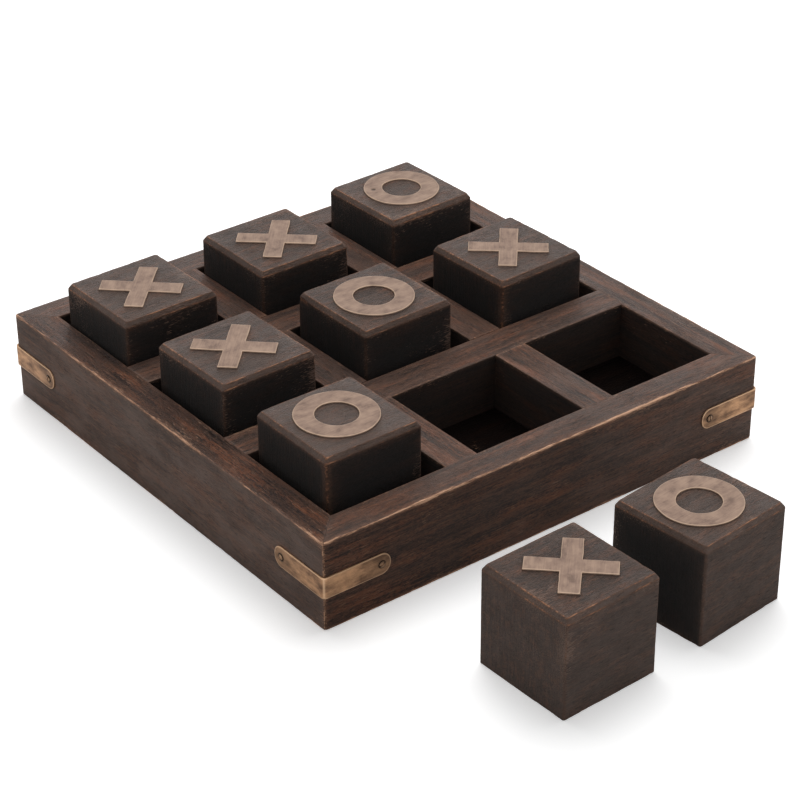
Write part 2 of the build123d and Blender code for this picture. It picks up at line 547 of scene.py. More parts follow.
@dataclass(frozen=True)
class StainedWood:
    """Open-grained hardwood, stained espresso, waxed, and rubbed through at the edges, with painted
    shade and painted sheen.

    Each pair of lengths says how long a mark is along the grain, and how wide.
    """

    name: str
    deep: str = "#160c09"  # the stain where it lies thickest
    mid: str = "#563a2c"  # its usual brown
    warm: str = "#74432a"  # the reddish streaks along the grain
    bloom_and_sheen: str = "#7a6a62"  # the greyish film of old wax, partly a painted sheen
    fibre: str = "#96745e"  # short fibres that took little stain, and scuffs
    pore: str = "#0e0a09"  # the open pores, full of stain
    shade: str = "#060404"  # painted shade, near black: the cells and the seated blocks' sides, where shade falls
    halo: str = "#6f5244"  # the thinner stain beside an arris
    rubbed: str = "#946c54"  # the wood where the stain is nearly gone
    raw: str = "#dcae8e"  # the bare wood on the arris itself
    streak: Lengths = (24 * MM, 0.9 * MM)  # a streak of the grain
    band_share: float = 0.45  # how much of it is broad bands
    evenness: float = 0.14  # how evenly the wood took the stain
    fleck_share: float = 0.35  # how much of the grain is short flecks
    cloud: Lengths = (30 * MM, 15 * MM)  # a cloud in the wax
    warmth: float = 0.75  # how much of the surface the reddish streaks take
    bloom_and_sheen_share: float = 0.4  # how strongly the wax film and its painted sheen grey it
    patchiness: float = 0.5  # how much less it does in places
    fibre_share: float = 0.7  # how strongly the short fibres show
    pore_share: float = 0.7  # how strongly the pores show
    cell_shade: float = 0.97  # how far the painted shade covers the wood where it is deepest
    wear_reach: float = 1.2 * MM  # how far from an arris the rubbing reaches
    wear: float = 0.8  # how much of each arris is rubbed through
    thinning: float = 0.4  # how far the stain beside an arris is thinned
    scuff_reach: float = 5 * MM  # how far from an arris light scuffs are found
    scuff_start: float = 0.85  # how rare they are, where 1 is none
    scuff_fade: float = 0.17  # how much rarer they are away from the arrises
    rag: Lengths = (10 * MM, 0.9 * MM)  # a notch in the rubbed line
    line_swing: float = 2.2  # how far that line swings along an arris, in reaches
    line_spread: float = 4.5  # how far its notches reach
    roughness: float = 0.37  # the mean roughness of the wax where hands have polished it
    swing: float = 0.1  # how far it swings with the clouds
    side_roughness: float = 0.85  # the roughness elsewhere
    shine: float = 0.36  # how much the wax reflects, where a gloss finish has 0.5
    relief: float = 0.3 * MM  # how deep the grain and the pores are

    def build(self) -> Material:
        """Make the material: stain, wax, painted sheen, painted shade and wear in its colour, and a
        relief for all of them.

        Returns:
            The material.
        """
        material, tree, measures = start_finish(self.name, "place", *MEASURES)
        place, gap, shade_and_tarnish, end_grain, haze_and_sheen, polish = measures
        grain = self.draw_grain(tree, place, end_grain)
        clouds = pattern(tree, place, self.cloud, detail=5, rough=0.62)
        # Open pores, really 0.2 mm wide, drawn 0.45 mm wide so that they show
        holes = pattern(tree, place, (6 * MM, 0.45 * MM), detail=2, rough=0.5)
        open_pores = {"Value": holes, "From Min": 0.62, "From Max": 0.70}
        pores = add(tree, "ShaderNodeMapRange", open_pores)
        filled = add(tree, "ShaderNodeMath", (pores, self.pore_share), operation="MULTIPLY")
        # Painted shade: near black where the cells and the seated blocks' sides lie in shade
        painted_shade_share = add(tree, "ShaderNodeMath", (shade_and_tarnish, self.cell_shade), operation="MULTIPLY")
        coats = self.stain_coats(tree, place, grain, clouds, haze_and_sheen)
        coats += [(filled, self.pore), (painted_shade_share, self.shade)]
        colour = overlay(tree, self.deep, coats + self.worn_coats(tree, place, gap))
        dull = {"Value": clouds, "From Min": 0.35, "From Max": 0.65}
        dull |= {"To Min": self.roughness + self.swing, "To Max": self.roughness - self.swing}
        rubbed_wax = add(tree, "ShaderNodeMapRange", dull)
        roughness = add(tree, "ShaderNodeMix", {0: polish, 2: self.side_roughness, 3: rubbed_wax})
        carved = add(tree, "ShaderNodeMath", (pores, -0.5, grain), operation="MULTIPLY_ADD")
        depth = {"Strength": 0.9, "Distance": self.relief, "Height": carved}
        wax = {"Base Color": colour, "Roughness": roughness, "IOR": 1.46}
        wax |= {"Specular IOR Level": self.shine, "Normal": add(tree, "ShaderNodeBump", depth)}
        shader = add(tree, "ShaderNodeBsdfPrincipled", wax)
        add(tree, "ShaderNodeOutputMaterial", {"Surface": shader})
        return material

    def draw_grain(self, tree: Tree, place: Socket, end_grain: Socket) -> Socket:
        """Draw the grain: long streaks with finer fibres in them, and saw marks on its ends.

        Args:
            tree: the material's tree.
            place: the place on the piece.
            end_grain: how far a face shows the ends of the grain.

        Returns:
            The grain, from 0 in its dark lines to 1 in its light ones.
        """
        length, width = self.streak
        streaks = pattern(tree, place, self.streak, detail=5, rough=0.72)
        bands = pattern(tree, place, (length * 2.5, width * 5), detail=3, rough=0.6)
        mixed = add(tree, "ShaderNodeMix", {0: self.band_share, 2: streaks, 3: bands})
        saw_marks = pattern(tree, place, (1 * MM, 0.9 * MM, 16 * MM), detail=4, rough=0.6)
        sawn = add(tree, "ShaderNodeMix", {0: end_grain, 2: mixed, 3: saw_marks})
        # Flecks of the figure, really finer than 0.4 mm, drawn 0.9 mm wide so that they show
        flecks = pattern(tree, place, (2.2 * MM, 0.9 * MM), detail=3, rough=0.7)
        drawn = add(tree, "ShaderNodeMix", {0: self.fleck_share, 2: sawn, 3: flecks})
        taken = {"From Min": 0.5 - self.evenness / 2, "From Max": 0.5 + self.evenness / 2}
        return add(tree, "ShaderNodeMapRange", {"Value": drawn} | taken)

    def stain_coats(
        self, tree: Tree, place: Socket, grain: Socket, clouds: Socket, haze_and_sheen: Socket
    ) -> list[Coat]:
        """Work out where the stain, its reddish streaks, the wax with its painted sheen and the
        pale fibres show.

        Args:
            tree: the material's tree.
            place: the place on the piece.
            grain: its grain, from dark to light.
            clouds: the clouds in the wax.
            haze_and_sheen: how hazy the wax is, with its painted sheen.

        Returns:
            The coats that lie over the deepest stain.
        """
        # Reddish patches, themselves broken up by the grain
        patch = (self.cloud[0] * 1.6, self.cloud[1] * 0.5)
        patches = pattern(tree, place, patch, detail=4, rough=0.6)
        reddish = {"Value": patches, "From Min": 0.47, "From Max": 0.62, "To Max": self.warmth}
        waxy_and_sheen = {"Value": clouds, "From Min": 0.38, "From Max": 0.64}
        waxy_and_sheen |= {"To Min": self.bloom_and_sheen_share * (1 - self.patchiness), "To Max": self.bloom_and_sheen_share}
        # Short pale fibres, really finer than 0.3 mm, drawn 0.5 mm wide so that they show
        dashes = pattern(tree, place, (8 * MM, 0.5 * MM), detail=3, rough=0.6)
        short = {"Value": dashes, "From Min": 0.56, "From Max": 0.70, "To Max": self.fibre_share}
        # They gather where the stain is thin
        thin = {"Value": patches, "From Min": 0.4, "From Max": 0.6, "To Min": 0.15}
        coats = [(grain, self.mid)]
        for ranged, share, colour in (
            (reddish, grain, self.warm),
            (waxy_and_sheen, haze_and_sheen, self.bloom_and_sheen),
            (short, add(tree, "ShaderNodeMapRange", thin), self.fibre),
        ):
            limited = (add(tree, "ShaderNodeMapRange", ranged), share)
            coats.append((add(tree, "ShaderNodeMath", limited, operation="MULTIPLY"), colour))
        return coats

    def worn_coats(self, tree: Tree, place: Socket, gap: Socket) -> list[Coat]:
        """Work out where the stain is rubbed off, in a ragged line that follows the grain.

        Args:
            tree: the material's tree.
            place: the place on the piece.
            gap: the distance to the nearest arris.

        Returns:
            The coats that lie over the stained wood.
        """
        thin = {"Value": gap, "From Max": self.wear_reach * 3}
        thin |= {"To Min": self.thinning, "To Max": 0.0}
        # Specks of bare wood, really finer than 0.4 mm, drawn 0.7 mm wide so that they show
        specks = pattern(tree, place, (1.4 * MM, 0.7 * MM), detail=3, rough=0.6)
        speckled = {"Value": specks, "From Min": 0.35, "From Max": 0.65}
        speckled |= {"To Min": 0.3, "To Max": 1.7}
        specked = tuple(add(tree, "ShaderNodeMapRange", ranged) for ranged in (thin, speckled))
        halo_share = add(tree, "ShaderNodeMath", specked, operation="MULTIPLY")
        # Light scuffs, fewer further from the arris, and gathered where hands grip
        swells = pattern(tree, place, (38 * MM,), detail=2, rough=0.5)
        scratches = pattern(tree, place, (3.5 * MM, 0.6 * MM), detail=4, rough=0.65)
        fewer = {"Value": gap, "From Max": self.scuff_reach, "To Max": -self.scuff_fade}
        nearer = add(tree, "ShaderNodeMapRange", fewer)
        gripped = add(tree, "ShaderNodeMath", (swells, 0.6, nearer), operation="MULTIPLY_ADD")
        scuffed = add(tree, "ShaderNodeMath", (scratches, gripped), operation="ADD")
        crisp = {"From Min": self.scuff_start, "From Max": self.scuff_start + 0.07, "To Max": 0.8}
        scuff_share = add(tree, "ShaderNodeMapRange", {"Value": scuffed} | crisp)
        # How far past the rubbed line a point lies: above 0 the stain is gone
        ragged = pattern(tree, place, self.rag, detail=6, rough=0.72)
        start = self.wear - (self.line_spread + self.line_swing) / 2
        bare = start
        for measured, times in (
            (gap, -1 / self.wear_reach),
            (swells, self.line_swing),
            (ragged, self.line_spread),
        ):
            bare = add(tree, "ShaderNodeMath", (measured, times, bare), operation="MULTIPLY_ADD")
        rubbed_share, raw_share = (
            add(tree, "ShaderNodeMapRange", {"Value": bare, "From Min": low, "From Max": high})
            for low, high in ((0.0, 0.3), (0.35, 0.7))
        )
        worn = [(halo_share, self.halo), (scuff_share, self.fibre)]
        return worn + [(rubbed_share, self.rubbed), (raw_share, self.raw)]


@dataclass(frozen=True)
class AgedBrass:
    """Sheet brass, brushed, browned by age, and rubbed bright along its edges."""

    name: str
    dull: str = "#947d70"  # the browned metal
    clean: str = "#af9583"  # the less tarnished metal
    dark: str = "#54463d"  # the tarnish in hollows and round the screws
    bright: str = "#dcc1a8"  # the rubbed edges
    bright_reach: float = 0.6 * MM  # how far from an edge the metal is bright
    mottle: Lengths = (9 * MM, 6 * MM)  # how long a patch of tarnish is, and how wide
    stroke: Lengths = (14 * MM, 0.6 * MM)  # the same of a brush stroke
    brushing: float = 0.35  # how strongly the strokes show
    roughness: float = 0.5  # the brushed metal's mean roughness
    swing: float = 0.15  # how far it swings with the mottle

    def build(self) -> Material:
        """Make the material: mottled tarnish, brush strokes, bright edges, and their relief.

        Returns:
            The material.
        """
        material, tree, measures = start_finish(self.name, "place", *MEASURES[:2])
        place, gap, shade_and_tarnish = measures
        patches = pattern(tree, place, self.mottle, detail=5, rough=0.62)
        # Brush strokes, really finer than 0.1 mm, drawn coarser so that they show
        strokes = pattern(tree, place, self.stroke, detail=3, rough=0.6)
        worked = add(tree, "ShaderNodeMix", {0: self.brushing, 2: patches, 3: strokes})
        cleaner = {"Value": worked, "From Min": 0.4, "From Max": 0.6}
        stained = {"Value": patches, "From Min": 0.30, "From Max": 0.42}
        stained |= {"To Min": 0.25, "To Max": 0.0}
        rim = {"Value": gap, "From Max": self.bright_reach, "To Min": 0.9, "To Max": 0.0}
        sheen = {"To Min": self.roughness + self.swing, "To Max": self.roughness - self.swing}
        sheen |= {"Value": patches}
        clean_share, spots, edge_share, roughness = (
            add(tree, "ShaderNodeMapRange", ranged) for ranged in (cleaner, stained, rim, sheen)
        )
        dark_share = add(tree, "ShaderNodeMath", (spots, shade_and_tarnish), operation="MAXIMUM")
        coats = [(clean_share, self.clean), (dark_share, self.dark), (edge_share, self.bright)]
        colour = overlay(tree, self.dull, coats)
        depth = {"Strength": 0.35, "Distance": 0.1 * MM, "Height": worked}
        bump = add(tree, "ShaderNodeBump", depth)
        brushed = {"Base Color": colour, "Metallic": 1.0, "Roughness": roughness, "Normal": bump}
        shader = add(tree, "ShaderNodeBsdfPrincipled", brushed)
        add(tree, "ShaderNodeOutputMaterial", {"Surface": shader})
        return material


# The tray


@dataclass
class Tray:
    """The wooden tray: four mitred rails, four halved dividers and the base board.

    A spare is how much less an arris wears, as a distance.
    """

    wood: Material
    base_wood: Material
    seam: float = 0.08 * MM  # half the hairline gap in a mitre or a notch
    corner_radius: float = 2.0 * MM  # of the upright outer corners
    top_radius: float = 0.9 * MM  # of a rail's rubbed outer top edge
    lip_radius: float = 0.6 * MM  # of the top edges round the cells
    foot_radius: float = 0.8 * MM  # of a rail's outer bottom edge
    rabbet: float = 10 * MM  # how wide and high the step for the base board is
    tenon_length: float = 8 * MM  # how far a divider's tenon reaches into a rail
    tenon_width: float = 10 * MM  # a tenon's thickness
    tenon_shoulder: float = 7 * MM  # what stands above and below a tenon
    painted_wall_shade: float = 0.75  # how much painted shade the cells' walls take, from 0 to 1
    lip_spare: float = 1.1 * MM  # of the lips round the cells
    corner_spare: float = 0.55 * MM  # of the upright corners
    outer_spares: Lengths = (-0.3 * MM, 0.0, 0.0, 0.3 * MM)  # of each rail's outer arrises
    # Painted sheen is most on the left rail's sides and none on its top, a painted shade for the
    # blocks' shadow there
    hazes_and_sheens: tuple[HazeAndSheen, ...] = (HazeAndSheen(0.65, 0.7, drift=4.0), HazeAndSheen(), HazeAndSheen(), HazeAndSheen(1.65, 0.0))
    pitch: float = 1.6 * MM  # the most between two cuts along a piece
    end_cuts: Lengths = (1.2 * MM, 2.4 * MM)  # the closer cuts beside a piece's end
    apart: Lengths = (0.37, 0.11, 0.23)  # from one piece's stretch of the grain to the next's
    weathering: Weathering = Weathering(0.32 * MM, 1.1 * MM, 7 * MM, 0.12 * MM)

    def __post_init__(self) -> None:
        """Work out the tray's sizes from the frame."""
        low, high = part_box("rail_front")
        self.half = -low.y
        self.well = -high.y
        self.height = high.z
        base_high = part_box("base_board")[1]
        self.floor = base_high.z
        self.base_half = base_high.x
        bar_low, bar_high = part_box("divider_back")
        self.bar_half = (bar_high.y - bar_low.y) / 2
        self.lane = (bar_high.y + bar_low.y) / 2
        self.tall = self.height - self.floor

    def build(self) -> None:
        """Make and place every wooden piece of the tray."""
        rails = zip(SIDES, QUARTERS, self.hazes_and_sheens, self.outer_spares)
        for seed, (side, turn, haze_and_sheen, spare) in enumerate(rails, 1):
            self.build_rail(f"rail_{side}", turn, seed, haze_and_sheen, spare)
        lanes = {"front": (0, -1), "back": (0, 1), "left": (-1, 0), "right": (1, 0)}
        for seed, (side, (x, y)) in enumerate(lanes.items(), 5):
            stand = Matrix.Translation((x * self.lane, y * self.lane, self.floor))
            self.build_divider(f"divider_{side}", stand @ QUARTERS[abs(x)], bool(x), seed)
        self.build_base()

    def build_rail(self, name: str, place: Matrix, seed: int, haze_and_sheen: HazeAndSheen, spare: float) -> None:
        """Make one rail: a rabbeted section, drawn out, mitred, and bent round the corners.

        Args:
            name: the node that it stands for.
            place: the turn that brings it to its side.
            seed: what makes its wear and grain its own.
            haze_and_sheen: how hazy its wax is, with its painted sheen.
            spare: the spare of its outer arrises.
        """
        outside, inside, step = -self.half, -self.well, self.rabbet
        section = [(outside, 0), (outside, self.height), (inside, self.height)]
        section += [(inside, step), (inside - step, step), (inside - step, 0)]
        bm = prism([(0, y, z) for y, z in section], Vector((1, 0, 0)))
        # The mitres: each end stands as far from the middle as it lies from the tray's centre
        for vert in bm.verts:
            vert.co.x = copysign(-vert.co.y - self.seam, vert.co.x - 0.5)
        outer = edges_where(bm, self.on_outer_face)
        level = [edge for edge in outer if run_of(edge, Axis.Z) < TINY]
        to_arris = nearest(
            (ends_of(level), spare),
            (ends_of([edge for edge in outer if edge not in level]), self.corner_spare),
            (ends_of(edges_where(bm, self.on_lip)), self.lip_spare),
        )
        top_edges = edges_where(bm, lambda co: self.on_outer_face(co) and self.on_top(co))
        round_over(bm, top_edges, self.top_radius, 3)
        round_over(bm, edges_where(bm, self.on_lip), self.lip_radius, 2)
        foot_edges = edges_where(bm, lambda co: self.on_outer_face(co) and co.z < TINY)
        round_over(bm, foot_edges, self.foot_radius, 2)
        inwards = (2, 3.5, 6, 9.5, 13, 16, 17.5)
        below_top, above_foot = (1.8, 3, 4.5, 7, 10, 14, 19, 25), (2, 4.5, 16)
        score(bm, Axis.Y, [outside + depth * MM for depth in inwards])
        score(bm, Axis.Z, [self.height - depth * MM for depth in below_top])
        score(bm, Axis.Z, [height * MM for height in above_foot])
        reach = self.half - self.corner_radius
        score(bm, Axis.X, spaced(-reach, reach, self.pitch, self.end_cuts))
        ends = [reach + self.corner_radius * share for share in (0.25, 0.5, 0.75)]
        score(bm, Axis.X, ends + [-x for x in ends])
        shift = Vector(self.apart) * seed
        lay_out(bm, shift, to_arris, self.painted_rail_shade, haze_and_sheen=haze_and_sheen)
        self.round_corners(bm)
        self.weathering.apply(bm, shift)
        finish_piece(bm, name, place, self.wood, "board", "tray_wood")

    def on_outer_face(self, co: Vector) -> bool:
        """Say whether a point lies on a rail's outer face."""
        return co.y < -self.half + TINY

    def on_top(self, co: Vector) -> bool:
        """Say whether a point lies on the tray's top."""
        return co.z > self.height - TINY

    def on_lip(self, co: Vector) -> bool:
        """Say whether a point lies on a rail's top edge beside the cells."""
        return self.on_top(co) and co.y > -self.well - TINY

    def painted_rail_shade(self, co: Vector) -> float:
        """Measure the painted shade on a point of a rail: a cell's wall takes it, and its lip does
        not.
        """
        walls = co.y > -self.well - TINY and co.z < self.height - 2 * self.lip_radius
        return self.painted_wall_shade * float(walls)

    def round_corners(self, bm: Mesh) -> None:
        """Bend the last stretch of each end round the tray's upright corner, up to the mitre.

        Args:
            bm: the rail.
        """
        centre = self.half - self.corner_radius
        for vert in bm.verts:
            across = -vert.co.y - centre
            past = abs(vert.co.x) - centre
            if across > 0 and past > 0:
                angle = pi / 4 * min(1.0, past / across)
                vert.co.x = copysign(centre + across * sin(angle), vert.co.x)
                vert.co.y = -(centre + across * cos(angle))

    def build_divider(self, name: str, place: Matrix, notched_above: bool, seed: int) -> None:
        """Make one divider from its side view, with its two notches, and add the tenons.

        Args:
            name: the node that it stands for.
            place: where its middle stands on the base board.
            notched_above: whether the notches are cut from above.
            seed: what makes its wear and grain its own.
        """
        tall, notch_half = self.tall, self.bar_half + self.seam
        open_edge, far_edge = (tall, 0.0) if notched_above else (0.0, tall)
        side = [(-self.well, far_edge), (-self.well, open_edge)]
        for centre in (-self.lane, self.lane):
            left, right = centre - notch_half, centre + notch_half
            side += [(left, open_edge), (left, tall / 2), (right, tall / 2), (right, open_edge)]
        side += [(self.well, open_edge), (self.well, far_edge)]
        bm = prism([(x, -self.bar_half, z) for x, z in side], Vector((0, 2 * self.bar_half, 0)))
        top = edges_where(bm, lambda co: co.z > tall - TINY)
        along = [edge for edge in top if run_of(edge, Axis.X) > TINY]
        across = [edge for edge in top if edge not in along]
        at_notches = [edge for edge in across if abs(edge.verts[0].co.x) < self.well - TINY]
        to_arris = nearest((ends_of(along + at_notches), self.lip_spare))
        round_over(bm, along, self.lip_radius, 2)
        self.add_tenons(bm)
        from_middle, below_top = (3, 6.5, 9), (1.8, 3, 5, 8, 13, 24)
        score(bm, Axis.Y, [way * depth * MM for way in (-1, 1) for depth in from_middle])
        score(bm, Axis.Z, [tall - depth * MM for depth in below_top])
        score(bm, Axis.X, spaced(-self.well, self.well, self.pitch, self.end_cuts))
        shift = Vector(self.apart) * seed
        side_face, under_lip = self.bar_half - TINY, tall - self.lip_radius + TINY

        def painted_divider_shade(co: Vector) -> float:
            """Measure the painted shade on a point: a side takes it, and the top does not."""
            return self.painted_wall_shade * float(abs(co.y) > side_face and co.z < under_lip)

        lay_out(bm, shift, to_arris, painted_divider_shade)
        self.weathering.apply(bm, shift)
        self.cope_ends(bm)
        finish_piece(bm, name, place, self.wood, "board", "tray_wood")

    def cope_ends(self, bm: Mesh) -> None:
        """Let a divider's top run on over the rails' eased lips, so that no groove is left.

        Args:
            bm: the divider.
        """
        for vert in bm.verts:
            above = vert.co.z - (self.tall - 2 * self.lip_radius)
            if above > 0 and abs(abs(vert.co.x) - self.well) < TINY + self.weathering.hollow:
                vert.co.x += copysign(above / 2, vert.co.x)

    def add_tenons(self, bm: Mesh) -> None:
        """Draw a tenon out of each end of a divider.

        Args:
            bm: the divider.
        """
        bm.normal_update()
        shoulders = 1 - 2 * self.tenon_shoulder / self.tall
        shrink = (1, self.tenon_width / (2 * self.bar_half), shoulders)
        centre = Matrix.Translation((0, 0, -self.tall / 2))
        ends = [face for face in bm.faces if abs(face.calc_center_median().x) > self.well - TINY]
        for face in ends:
            outward = Vector((copysign(self.tenon_length, face.normal.x), 0, 0))
            drawn = bmesh.ops.extrude_discrete_faces(bm, faces=[face])["faces"]
            bmesh.ops.scale(bm, vec=shrink, space=centre, verts=drawn[0].verts)
            tip = bmesh.ops.extrude_discrete_faces(bm, faces=drawn)["faces"]
            bmesh.ops.translate(bm, vec=outward, verts=tip[0].verts)

    def build_base(self) -> None:
        """Make the base board: a slab in the rails' rabbets, and the cells' floor on it."""
        low = Vector((-self.base_half, -self.base_half, 0))
        bm = shape_box(Vector((2 * self.base_half, 2 * self.base_half, self.rabbet)), low)
        bm.normal_update()
        top = max(bm.faces, key=lambda face: face.calc_center_median().z)
        step = self.base_half - self.well
        bmesh.ops.inset_individual(bm, faces=[top], thickness=step, use_even_offset=True)
        raised = bmesh.ops.extrude_discrete_faces(bm, faces=[top])["faces"]
        bmesh.ops.translate(bm, vec=(0, 0, self.floor - self.rabbet), verts=raised[0].verts)
        arrises = ends_of(edges_where(bm, lambda co: co.z < TINY))
        cuts = spaced(-self.base_half, self.base_half, 4 * MM, (0.8 * MM, 2 * MM, 4 * MM))
        for axis in (Axis.X, Axis.Y):
            score(bm, axis, cuts)
        shift = Vector(self.apart) * 9
        # Painted shade: all of the board but its underside, the cells' floor with it, is painted
        # near black
        lay_out(bm, shift, nearest((arrises, 0.0)), lambda co: float(co.z > TINY))
        finish_piece(bm, "base_board", Matrix.Identity(4), self.base_wood, "board", "tray_wood")


# The corner straps and their screws


@dataclass
class CornerStraps:
    """Four brass straps bent round the tray's corners, and their eight round-headed screws."""

    brass: Material
    screw_brass: Material
    leg: float = 42.0 * MM  # from the tray's corner to a strap's end
    bend_radius: float = 1.7 * MM  # the inner radius of the bend
    end_radius: float = 5.85 * MM  # of an end's rounded corners
    edge_bevel: float = 0.28 * MM  # the rubbed edges
    screw_inset: float = 36.3 * MM  # from the tray's corner to a screw
    head_radius: float = 2.2 * MM
    head_height: float = 0.75 * MM
    shank_radius: float = 1.2 * MM
    screw_length: float = 11.0 * MM  # under the head
    slot_width: float = 0.6 * MM
    slot_depth: float = 0.55 * MM
    crown: float = 1 / 3  # the share of a head's height where its tarnish ends
    tarnish_ring: float = 0.9 * MM  # how far from a screw's head the strap is dark
    tarnish_reach: float = 12 * MM  # how far from it the strap is still a little tarnished
    end_tarnish: float = 0.45  # how tarnished it is there, from 0 to 1
    dish: float = 0.1 * MM  # how deep the strap is pressed in round a screw
    bend_spare: float = 0.2 * MM  # how much less the bend is rubbed than the edges
    slot_turn: float = radians(24)  # how far the first screw's slot is turned
    slot_step: float = radians(67)  # and each one's from the last
    cut_pitch: float = 0.7  # between the cuts near a screw, in mm
    apart: Lengths = (0.13, 0.07, 0.05)  # from one strap's stretch of the mottle to the next's

    def __post_init__(self) -> None:
        """Work out the straps' places and sizes from the frame."""
        self.half = -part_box("rail_front")[0].y
        strap_low, strap_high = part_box("corner_strap_front")
        self.thickness = -self.half - strap_low.x
        self.width = strap_high.z - strap_low.z
        self.middle = (strap_low.z + strap_high.z) / 2
        self.half_arc = self.bend_radius * pi / 4
        self.reach = self.leg - self.bend_radius + self.half_arc
        self.screw_at = self.reach - (self.leg - self.screw_inset)

    def build(self) -> None:
        """Make and place the straps, and the screws as one piece."""
        for seed, (side, turn) in enumerate(zip(SIDES, QUARTERS), 1):
            self.build_strap(f"corner_strap_{side}", turn, seed)
        self.build_screws()

    def build_strap(self, name: str, place: Matrix, seed: int) -> None:
        """Make one strap: a flat strip with rounded ends, its edges rubbed, bent at its middle.

        Args:
            name: the node that it stands for.
            place: the turn that brings it to its corner.
            seed: what makes its tarnish its own.
        """
        ways = ((-1, -1), (1, -1), (1, 1), (-1, 1))
        corners = [(x * self.reach, 0, z * self.width / 2) for x, z in ways]
        bm = prism(corners, Vector((0, -self.thickness, 0)))
        through = [edge for edge in bm.edges if run_of(edge, Axis.Y) > TINY]
        round_over(bm, through, self.end_radius, 10)
        outside = -self.thickness / 2
        outer = [edge for edge in sharp_edges(bm) if all(v.co.y < outside for v in edge.verts)]
        on_bend = [Vector((0, -self.thickness, way * self.width / 2)) for way in (-1, 1)]
        to_edge = nearest((ends_of(outer), 0.0), ([tuple(on_bend)], self.bend_spare))
        round_over(bm, outer, self.edge_bevel, 2)
        bend = self.half_arc
        past_bend = [1, 3, 7, 12, 18, 24, *[28 + self.cut_pitch * step for step in range(16)]]
        score(bm, Axis.X, [bend * step / 4 for step in range(-4, 5)])
        score(bm, Axis.X, [way * (bend + along * MM) for way in (-1, 1) for along in past_bend])
        score(bm, Axis.Z, [step * self.cut_pitch * MM for step in range(-7, 8)])
        lay_out(bm, Vector(self.apart) * seed, to_edge, self.tarnish)
        for vert in bm.verts:
            pressed = self.near_screw(vert.co, self.tarnish_ring) * float(vert.co.y < outside)
            vert.co.y += self.dish * pressed
            vert.co = self.bent(vert.co)
        finish_piece(bm, name, place, self.brass, "board", "strap_brass")

    def near_screw(self, flat: Vector, reach: float) -> float:
        """Measure from 0 to 1 how near a point of the flat strip lies to a screw's head."""
        away = Vector((abs(flat.x) - self.screw_at, flat.z)).length - self.head_radius
        return clamp(1 - away / reach)

    def tarnish(self, flat: Vector) -> float:
        """Measure the tarnish: dark round a screw's head, and a little over the strap's end."""
        over_end = self.end_tarnish * self.near_screw(flat, self.tarnish_reach)
        return max(self.near_screw(flat, self.tarnish_ring), over_end)

    def bent(self, flat: Vector) -> Vector:
        """Carry a point of the flat strip round the corner.

        Args:
            flat: along the strip from its middle, outward as a negative Y, and up.

        Returns:
            The point's place at the tray's front left corner.
        """
        radius = self.bend_radius - flat.y
        centre = -self.half + self.bend_radius
        past = max(0.0, abs(flat.x) - self.half_arc)
        angle = pi / 4 + max(-1.0, min(1.0, flat.x / self.half_arc)) * pi / 4
        x = centre - radius * cos(angle) + past * float(flat.x > 0)
        y = centre - radius * sin(angle) + past * float(flat.x <= 0)
        return Vector((x, y, self.middle + flat.z))

    def build_screws(self) -> None:
        """Make the eight screws, each driven through its strap and turned its own way."""
        bm = bmesh.new()
        face_y = -self.half - self.thickness
        inset = self.half - self.screw_inset
        places = [(quarter, x) for quarter in QUARTERS for x in (-inset, inset)]
        for index, (quarter, x) in enumerate(places):
            screw = self.shape_screw()
            driven = Matrix.Rotation(self.slot_turn + self.slot_step * index, 4, "Z")
            facing = Matrix.Translation((x, face_y, self.middle)) @ Matrix.Rotation(pi / 2, 4, "X")
            screw.transform(quarter @ facing @ driven)
            mesh = bpy.data.meshes.new("screw")
            screw.to_mesh(mesh)
            screw.free()
            bm.from_mesh(mesh)
            bpy.data.meshes.remove(mesh)
        names, smooth = ("board", "screw_brass"), radians(50)
        finish_piece(bm, "strap_screws", Matrix.Identity(4), self.screw_brass, *names, smooth)

    def shape_screw(self) -> Mesh:
        """Spin one screw round Z, with the underside of its head at Z = 0, and cut its slot.

        Returns:
            The screw's mesh, with its layers written.
        """
        radius = (self.head_radius**2 + self.head_height**2) / (2 * self.head_height)
        centre = self.head_height - radius
        widest = asin(self.head_radius / radius)
        angles = [widest * i / 8 for i in range(9)]
        dome = [(radius * sin(angle), centre + radius * cos(angle)) for angle in angles]
        tip = -self.screw_length
        shank = [(self.shank_radius, 0.0), (self.shank_radius, tip), (0.0, tip)]
        bm = spin_round(dome + shank, closed=False, steps=32)
        half_slot = self.slot_width / 2
        score(bm, Axis.Y, [-half_slot, half_slot])
        bm.normal_update()
        middle = [face for face in bm.faces if abs(face.calc_center_median().y) < half_slot]
        slot = [face for face in middle if face.normal.z > 0.3]
        cut = bmesh.ops.extrude_face_region(bm, geom=slot)
        bmesh.ops.delete(bm, geom=[face for face in slot if face.is_valid], context="FACES_ONLY")
        for vert in new_verts(cut):
            vert.co.z = self.head_height - self.slot_depth
        # The rubbed part is the crown: the gap grows towards the rim and down the slot
        low = self.head_height * self.crown
        lay_out(bm, Vector(), lambda co: co.xy.length, lambda co: float(co.z < low))
        return bm


# The blocks and their marks


